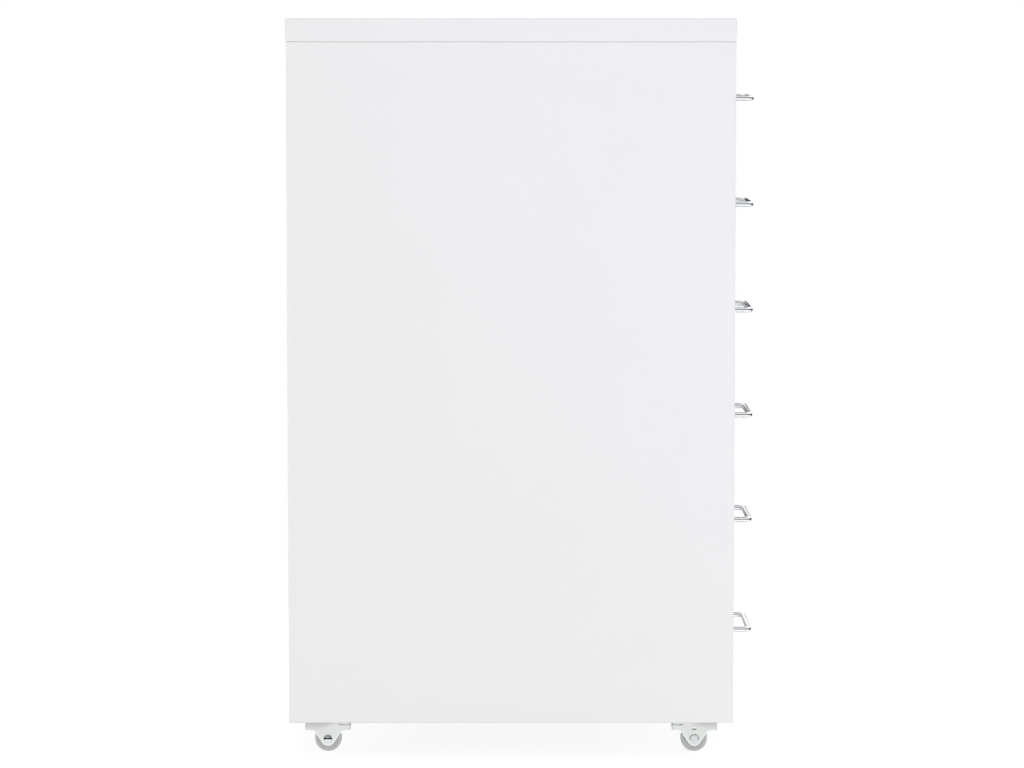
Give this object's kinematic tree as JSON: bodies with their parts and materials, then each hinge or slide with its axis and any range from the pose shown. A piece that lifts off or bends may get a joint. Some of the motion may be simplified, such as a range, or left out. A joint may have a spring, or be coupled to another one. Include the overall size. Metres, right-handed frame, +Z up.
{
  "type": "drawer cabinet",
  "caption": "Narrow sheet-steel drawer cabinet with plain folded sides, a proud lid, hollow drawer fronts with chrome bow handles, and small fixed casters.",
  "frame": {"origin": "on the floor, below the middle of the whole outline with its handles", "axes": "+Z up; the drawers open towards -Y; +X to the right for someone who looks along +Y at the fronts"},
  "size_m": [0.2812, 0.437, 0.686],
  "materials": {
    "powder_coat": "smooth satin white powder coat",
    "chrome_plate": "bright chrome plate",
    "zinc_plate": "pale satin zinc plate",
    "nickel_plate": "bright nickel plate",
    "bright_steel": "bright zinc-plated steel",
    "grey_rubber": "matt mid-grey rubber",
    "grey_plastic": "pale grey moulded plastic"
  },
  "bodies": {
    "cabinet": {"side_panel_left": "powder_coat", "side_panel_right": "powder_coat", "back_panel": "powder_coat", "base_panel": "powder_coat", "lid": "powder_coat", "runner_1_left": "powder_coat", "runner_1_right": "powder_coat", "runner_2_left": "powder_coat", "runner_2_right": "powder_coat", "runner_3_left": "powder_coat", "runner_3_right": "powder_coat", "runner_4_left": "powder_coat", "runner_4_right": "powder_coat", "runner_5_left": "powder_coat", "runner_5_right": "powder_coat", "runner_6_left": "powder_coat", "runner_6_right": "powder_coat", "caster_bracket_front_left": "zinc_plate", "caster_bracket_front_right": "zinc_plate", "caster_bracket_rear_left": "zinc_plate", "caster_bracket_rear_right": "zinc_plate", "axle_rivets": "nickel_plate", "caster_bolts": "bright_steel", "caster_nuts": "bright_steel", "lid_screws": "bright_steel"},
    "drawer_1": {"drawer_1_front": "powder_coat", "drawer_1_tray": "powder_coat", "drawer_1_handle": "chrome_plate", "drawer_1_screws": "bright_steel"},
    "drawer_2": {"drawer_2_front": "powder_coat", "drawer_2_tray": "powder_coat", "drawer_2_handle": "chrome_plate", "drawer_2_screws": "bright_steel"},
    "drawer_3": {"drawer_3_front": "powder_coat", "drawer_3_tray": "powder_coat", "drawer_3_handle": "chrome_plate", "drawer_3_screws": "bright_steel"},
    "drawer_4": {"drawer_4_front": "powder_coat", "drawer_4_tray": "powder_coat", "drawer_4_handle": "chrome_plate", "drawer_4_screws": "bright_steel"},
    "drawer_5": {"drawer_5_front": "powder_coat", "drawer_5_tray": "powder_coat", "drawer_5_handle": "chrome_plate", "drawer_5_screws": "bright_steel"},
    "drawer_6": {"drawer_6_front": "powder_coat", "drawer_6_tray": "powder_coat", "drawer_6_handle": "chrome_plate", "drawer_6_screws": "bright_steel"},
    "wheel_front_left": {"caster_hub_front_left": "grey_plastic", "caster_tyre_front_left": "grey_rubber"},
    "wheel_front_right": {"caster_hub_front_right": "grey_plastic", "caster_tyre_front_right": "grey_rubber"},
    "wheel_rear_left": {"caster_hub_rear_left": "grey_plastic", "caster_tyre_rear_left": "grey_rubber"},
    "wheel_rear_right": {"caster_hub_rear_right": "grey_plastic", "caster_tyre_rear_right": "grey_rubber"}
  },
  "joints": [
    {"name": "drawer_1_slide", "type": "slide", "parent": "cabinet", "child": "drawer_1", "axis": [0, -1, 0], "range_m": [0, 0.3]},
    {"name": "drawer_2_slide", "type": "slide", "parent": "cabinet", "child": "drawer_2", "axis": [0, -1, 0], "range_m": [0, 0.3]},
    {"name": "drawer_3_slide", "type": "slide", "parent": "cabinet", "child": "drawer_3", "axis": [0, -1, 0], "range_m": [0, 0.3]},
    {"name": "drawer_4_slide", "type": "slide", "parent": "cabinet", "child": "drawer_4", "axis": [0, -1, 0], "range_m": [0, 0.3]},
    {"name": "drawer_5_slide", "type": "slide", "parent": "cabinet", "child": "drawer_5", "axis": [0, -1, 0], "range_m": [0, 0.3]},
    {"name": "drawer_6_slide", "type": "slide", "parent": "cabinet", "child": "drawer_6", "axis": [0, -1, 0], "range_m": [0, 0.3]},
    {"name": "wheel_front_left_spin", "type": "hinge", "parent": "cabinet", "child": "wheel_front_left", "pos_m": [-0.105, -0.16105, 0.0125], "axis": [1, 0, 0], "continuous": true},
    {"name": "wheel_front_right_spin", "type": "hinge", "parent": "cabinet", "child": "wheel_front_right", "pos_m": [0.105, -0.16105, 0.0125], "axis": [1, 0, 0], "continuous": true},
    {"name": "wheel_rear_left_spin", "type": "hinge", "parent": "cabinet", "child": "wheel_rear_left", "pos_m": [-0.105, 0.18295, 0.0125], "axis": [1, 0, 0], "continuous": true},
    {"name": "wheel_rear_right_spin", "type": "hinge", "parent": "cabinet", "child": "wheel_rear_right", "pos_m": [0.105, 0.18295, 0.0125], "axis": [1, 0, 0], "continuous": true}
  ]
}
